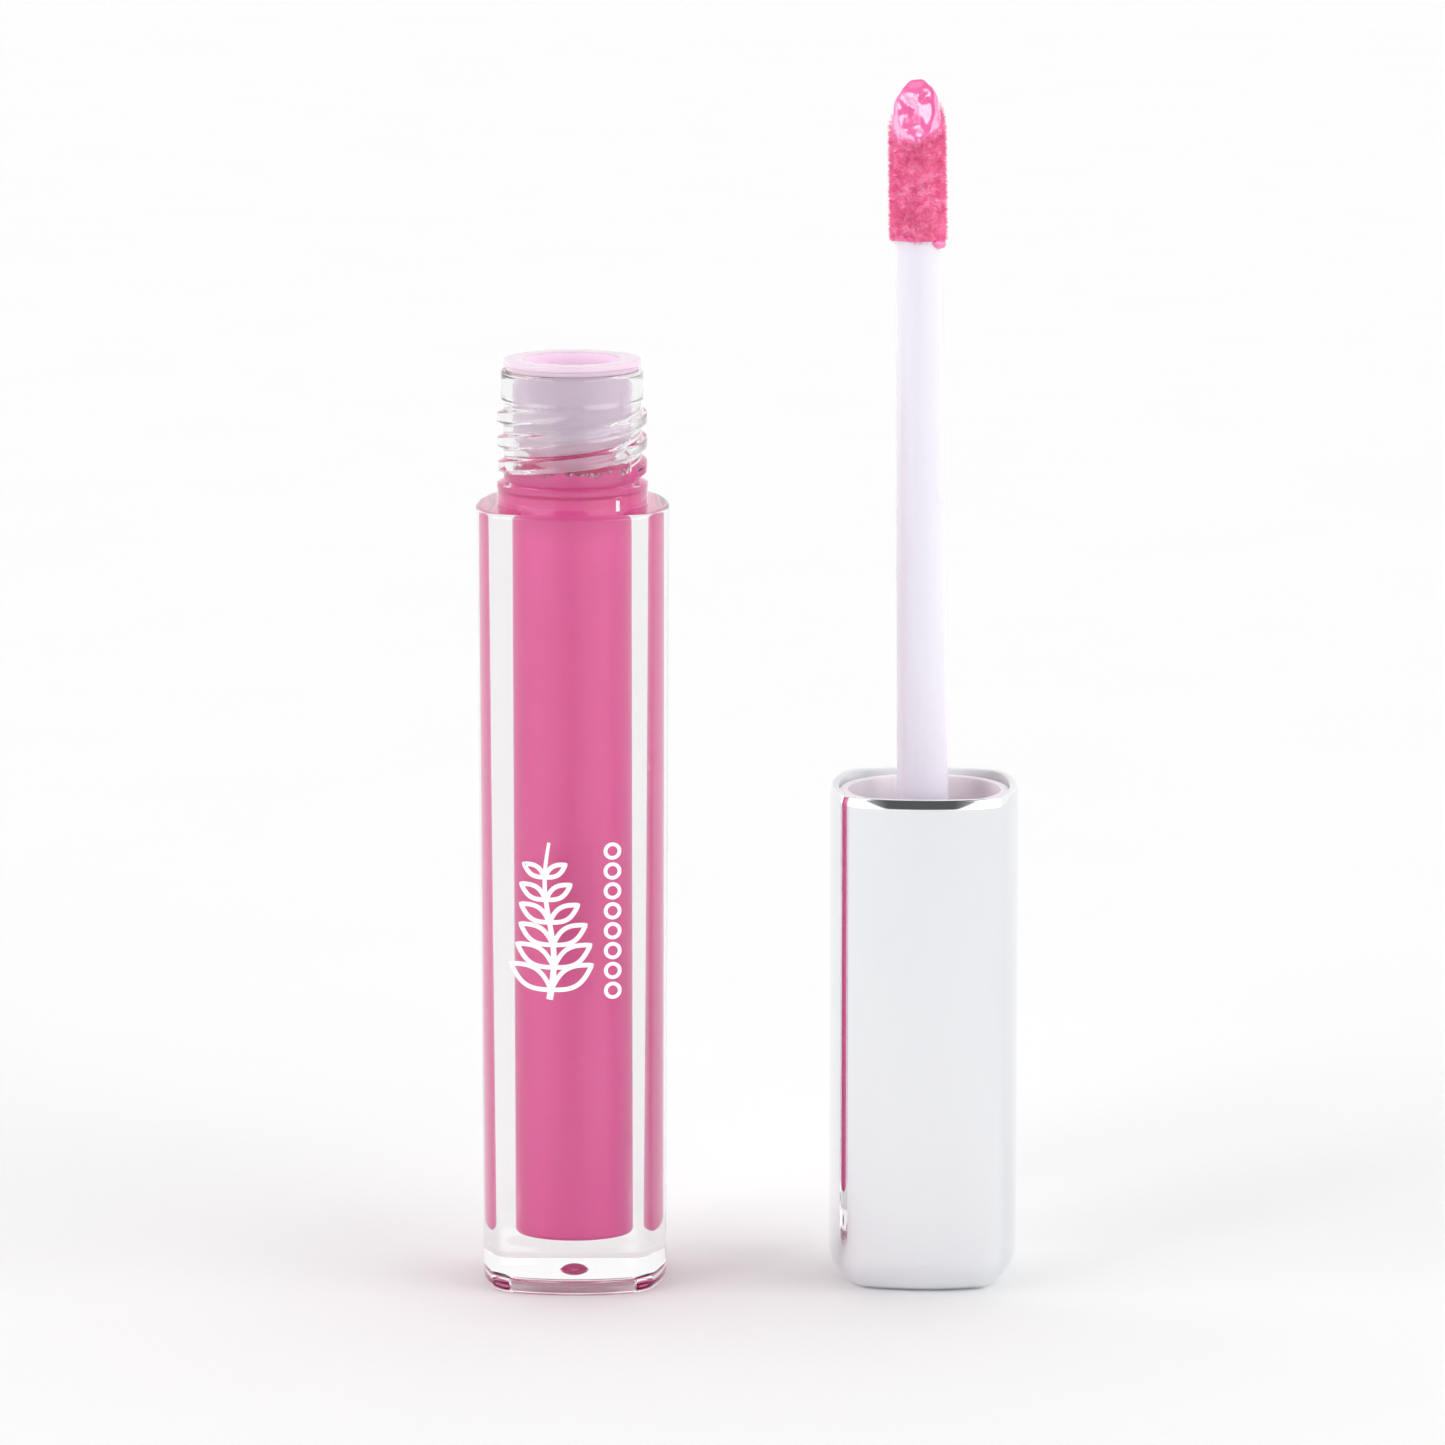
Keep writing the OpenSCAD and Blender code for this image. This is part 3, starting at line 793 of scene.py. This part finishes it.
def make_flock():
    """A stained skin with thousands of short fibres standing on it, none where the gloss lies."""
    rng = random.Random(7)
    skin_r = TIP_R - 0.12
    top = TIP_TOP
    skin_vertices, skin_faces = tip_geometry(skin_r, top - 0.12, 0.22, 0.15, TIP_END)
    parts = [(skin_vertices, skin_faces)]
    fibres = 18000
    vertices, faces = [], []
    straight = top - TIP_NOSE - TIP_END
    for _ in range(fibres):
        a = rng.random() * TAU
        along = rng.random() * (straight + TIP_NOSE * 1.1)
        if along < straight:
            r, z, slope = skin_r, TIP_END + along, 0.0
        else:
            slope = min((along - straight) / (TIP_NOSE * 1.1), 1) * TAU / 4
            r, z = skin_r * math.cos(slope), top - TIP_NOSE + (TIP_NOSE - 0.12) * math.sin(slope)
            if rng.random() > math.cos(slope) + 0.1:
                continue
        base = (r * math.cos(a), r * math.sin(a), z)
        if above_coat_edge(base) > 0.2:
            continue
        placed = cut_to_facet(*base, 0.22, 0.15)
        axis = Vector((math.cos(a) * math.cos(slope), math.sin(a) * math.cos(slope), math.sin(slope)))
        lean = Vector((rng.gauss(0, 0.4), rng.gauss(0, 0.4), rng.gauss(0, 0.4)))
        axis = (axis + lean).normalized()
        length = rng.uniform(0.25, 0.55)
        width = rng.uniform(0.018, 0.032)
        side = axis.orthogonal().normalized()
        other = axis.cross(side)
        start = len(vertices)
        for share, size in ((-0.05, 1.0), (0.75, 0.9)):
            for k in range(4):
                turn = TAU * k / 4
                offset = (side * math.cos(turn) + other * math.sin(turn)) * width * size
                vertices.append(tuple(placed + axis * length * share + offset))
        vertices.append(tuple(placed + axis * length))
        for k in range(4):
            n = (k + 1) % 4
            faces.append((start + k, start + n, start + 4 + n, start + 4 + k))
            faces.append((start + 4 + k, start + 4 + n, start + 8))
        faces.append((start + 3, start + 2, start + 1, start))
    parts.append((vertices, faces))
    all_vertices, all_faces = join_geometry(parts)
    return mesh_object("tip_flock_fibres", leaned(all_vertices), all_faces, 0, CAP_X)


def make_gloss_coat():
    """The wet layer on the tip, which thins out at its ragged edge, and the drop at the foot of the flock."""
    rows, count = 80, 120
    vertices, faces = tip_geometry(TIP_R, TIP_TOP, 0.0, 0.22, TIP_END, rows, count)
    shaped = []
    for v in vertices:
        point = Vector(v)
        cover = smooth_step(-0.5, 0.5, above_coat_edge(v))
        centre = Vector((0, 0, min(point.z, TIP_TOP - 3)))
        inward = (centre - point).normalized()
        wave = 0.13 * noise.noise(point * 1.1)
        point += inward * (0.36 * (1 - cover) - wave * cover)
        shaped.append(tuple(point))
    parts = [(shaped, faces)]
    drop, drop_faces = strip_geometry(
        lathe_rings([(math.sin(math.pi * i / 16), math.cos(math.pi * i / 16)) for i in range(1, 16)], 32)
    )
    drop[-2], drop[-1] = (0, 0, 1), (0, 0, -1)
    place = Vector((TIP_R - DROP_R, -0.55, TIP_END - 0.12))
    blob = []
    for v in drop:
        p = Vector((v[0] * 1.02, v[1] * 1.1, v[2] * 0.62))
        p *= 1 + 0.12 * noise.noise(p * 1.4 + Vector((3, 1, 2)))
        p.z -= 0.22 * max(p.x, 0)
        blob.append(tuple(p + place))
    parts.append((blob, drop_faces))
    all_vertices, all_faces = join_geometry(parts)
    return mesh_object("gloss_coat_wet", leaned(all_vertices), all_faces, 0, CAP_X, math.pi)


# ---------------------------------------------------------------- print


def front_of_bottle(x, z):
    """Place on the bottle's front face, a hair proud of it, for a point x across and z up."""
    t = (z - FOOT_EDGE) / (SHOULDER_Z - SHOULDER_EDGE - FOOT_EDGE)
    half = FOOT_HALF + (SHOULDER_HALF - FOOT_HALF) * t
    y = -(math.sqrt(BODY_BULGE_R**2 - x**2) - (BODY_BULGE_R - half))
    return x, y - 0.02, z


def ink_ribbon(points, widths):
    """A flat stroke of ink along points (x, z), with a width at each."""
    vertices, faces = [], []
    for i, (point, width) in enumerate(zip(points, widths)):
        before, after = points[max(i - 1, 0)], points[min(i + 1, len(points) - 1)]
        run = Vector((after[0] - before[0], after[1] - before[1])).normalized()
        for side in (1, -1):
            x, z = point[0] - run.y * side * width / 2, point[1] + run.x * side * width / 2
            vertices.append(front_of_bottle(x, z))
        if i:
            faces.append((2 * i - 2, 2 * i - 1, 2 * i + 1, 2 * i))
    return vertices, faces


def make_print():
    """A plain sprig ornament with a row of dots beside it, where the bottle carries its white print."""
    parts = []
    low, high = 27.3, 41.6
    stem_x = -1.9
    steps = 40

    def stem_at(z):
        return stem_x + 0.4 * math.sin(TAU * (z - low) / (high - low))

    heights = [low + (high - low) * i / steps for i in range(steps + 1)]
    widths = [0.6 - 0.3 * i / steps for i in range(steps + 1)]
    parts.append(ink_ribbon([(stem_at(z), z) for z in heights], widths))
    for k in range(6):
        base_z = low + 0.9 + k * 2.05
        size = 4.3 - 0.42 * k
        slant = math.radians(32)
        for side in (-1, 1):
            outline = [(size * i / 24, 0.2 * size * math.sin(math.pi * i / 24)) for i in range(25)]
            outline += [(along, -swell) for along, swell in reversed(outline[:-1])]
            points = [
                (
                    stem_at(base_z) + side * (along * math.cos(slant) - swell * math.sin(slant)),
                    base_z + along * math.sin(slant) + swell * math.cos(slant),
                )
                for along, swell in outline
            ]
            parts.append(ink_ribbon(points, [0.42] * len(points)))
    dots = 8
    for k in range(dots):
        centre_z = low + 0.8 + k * (high - low - 1.6) / (dots - 1)
        turns = [TAU * i / 24 for i in range(25)]
        ring = [(3.75 + 0.62 * math.cos(turn), centre_z + 0.62 * math.sin(turn)) for turn in turns]
        parts.append(ink_ribbon(ring, [0.34] * 25))
    vertices, faces = join_geometry(parts)
    return mesh_object("front_print", vertices, faces, BOTTLE_TURN, 0)


# ---------------------------------------------------------------- assembly

dress(make_bottle(), CLEAR, "bottle", "clear_bottle", "bottle")
dress(make_gloss(), GLOSS, "bottle", "gloss", "gloss_fill")
dress(make_froth(), FROTH, "bottle", "gloss")
paint_rim_shade(dress(make_wiper(), WIPER, "bottle", "wiper_plastic", "wiper"))
dress(make_print(), INK, "bottle", "clear_bottle")
line_shell(dress(make_shell(), SILVER, "applicator", "silver_shell", "over_shell"))
dress(make_inner_cap(), WHITE, "applicator", "white_plastic", "inner_cap")
dress(make_stem(), STEM, "applicator", "stem_plastic", "wand_stem")
dress(make_tip_core(), CORE, "applicator", "core_plastic", "tip_core")
dress(make_flock(), FLOCK, "applicator", "flock", "tip_flock")
dress(make_gloss_coat(), WET, "applicator", "wet_gloss", "gloss_coat")
dress(make_gasket(), FOAM, "seal", "gasket_foam", "sealing_gasket")

# ---------------------------------------------------------------- floor, light and camera


def make_floor():
    size = 6.0
    mesh = bpy.data.meshes.new("floor")
    corners = [(x, y, -0.02 * MM) for x, y in ((-size, -size), (size, -size), (size, size), (-size, size))]
    mesh.from_pydata(corners, [], [(0, 1, 2, 3)])
    floor = bpy.data.objects.new("floor", mesh)
    bpy.context.scene.collection.objects.link(floor)
    material, tree, shader = new_material("floor_paper")
    grain = noise_node(tree, 30, 2)
    tint = colour_ramp(tree, grain.outputs["Fac"], [(0.3, (0.95, 0.95, 0.95)), (0.7, (0.96, 0.96, 0.96))])
    tree.links.new(tint.outputs["Color"], shader.inputs["Base Color"])
    shader.inputs["Roughness"].default_value = 0.9
    shader.inputs["Specular IOR Level"].default_value = 0.1
    mesh.materials.append(material)


def map_range(tree, source, low, high, out_low=0.0, out_high=1.0):
    node = tree.nodes.new("ShaderNodeMapRange")
    node.interpolation_type = "SMOOTHSTEP"
    node.inputs["From Min"].default_value = low
    node.inputs["From Max"].default_value = high
    node.inputs["To Min"].default_value = out_low
    node.inputs["To Max"].default_value = out_high
    tree.links.new(source, node.inputs["Value"])
    return node.outputs["Result"]


def maths(tree, operation, a, b=None):
    node = tree.nodes.new("ShaderNodeMath")
    node.operation = operation
    for socket, value in zip(node.inputs, (a, b)):
        if isinstance(value, (int, float)):
            socket.default_value = value
        elif value is not None:
            tree.links.new(value, socket)
    return node.outputs["Value"]


def make_world():
    """A white tent: brighter walls at both sides, and a dark gap above the horizon on the viewer's side."""
    world = bpy.data.worlds.new("studio")
    bpy.context.scene.world = world
    world.use_nodes = True
    tree = world.node_tree
    background = tree.nodes["Background"]
    places = tree.nodes.new("ShaderNodeTexCoord")
    parts = tree.nodes.new("ShaderNodeSeparateXYZ")
    tree.links.new(places.outputs["Generated"], parts.inputs["Vector"])
    x, y, z = parts.outputs["X"], parts.outputs["Y"], parts.outputs["Z"]
    off_centre = maths(tree, "ABSOLUTE", maths(tree, "ADD", x, 0.06))
    reach = maths(tree, "SUBTRACT", off_centre, maths(tree, "MULTIPLY", z, 0.55))
    middle = map_range(tree, reach, 0.28, 0.42, 1, 0)
    near_side = map_range(tree, y, -0.1, 0.1, 1, 0)
    raised = map_range(tree, z, 0.0, 0.04)
    boxes = maths(tree, "MULTIPLY", near_side, map_range(tree, z, 0.55, 0.85, 1, 0))
    boxes = maths(tree, "MULTIPLY", boxes, map_range(tree, off_centre, 0.3, 0.5))
    dark = maths(tree, "MULTIPLY", maths(tree, "MULTIPLY", middle, near_side), raised)
    level = maths(tree, "ADD", 1.09, maths(tree, "MULTIPLY", boxes, 2.4))
    level = maths(tree, "MULTIPLY", level, maths(tree, "SUBTRACT", 1, maths(tree, "MULTIPLY", dark, 0.9)))
    key = Vector((-0.57, -0.59, 0.58)).normalized()
    nearness = tree.nodes.new("ShaderNodeVectorMath")
    nearness.operation = "DOT_PRODUCT"
    nearness.inputs[1].default_value = key
    tree.links.new(places.outputs["Generated"], nearness.inputs[0])
    lamp = map_range(tree, nearness.outputs["Value"], 0.991, 0.996)
    level = maths(tree, "ADD", level, maths(tree, "MULTIPLY", lamp, 6))
    path = tree.nodes.new("ShaderNodeLightPath")
    seen = path.outputs["Is Camera Ray"]
    level = maths(tree, "MAXIMUM", level, seen)
    tree.links.new(level, background.inputs["Strength"])
    background.inputs["Color"].default_value = (1, 1, 1, 1)


def make_camera():
    """The camera stands about 0.7 m away, between the two pieces, and looks down on them by ten degrees."""
    data = bpy.data.cameras.new("camera")
    camera = bpy.data.objects.new("camera", data)
    bpy.context.scene.collection.objects.link(camera)
    data.sensor_width = 36
    data.lens = 197
    data.clip_start = 0.01
    data.clip_end = 20
    camera.location = (0.01342, -0.7, 0.1763)
    camera.rotation_euler = (math.radians(90 - 10.15), 0, 0)
    bpy.context.scene.camera = camera


make_floor()
make_world()
make_camera()

scene = bpy.context.scene
scene.view_settings.view_transform = "Standard"
scene.cycles.max_bounces = 24
scene.cycles.transmission_bounces = 20
scene.cycles.glossy_bounces = 10
scene.cycles.diffuse_bounces = 8
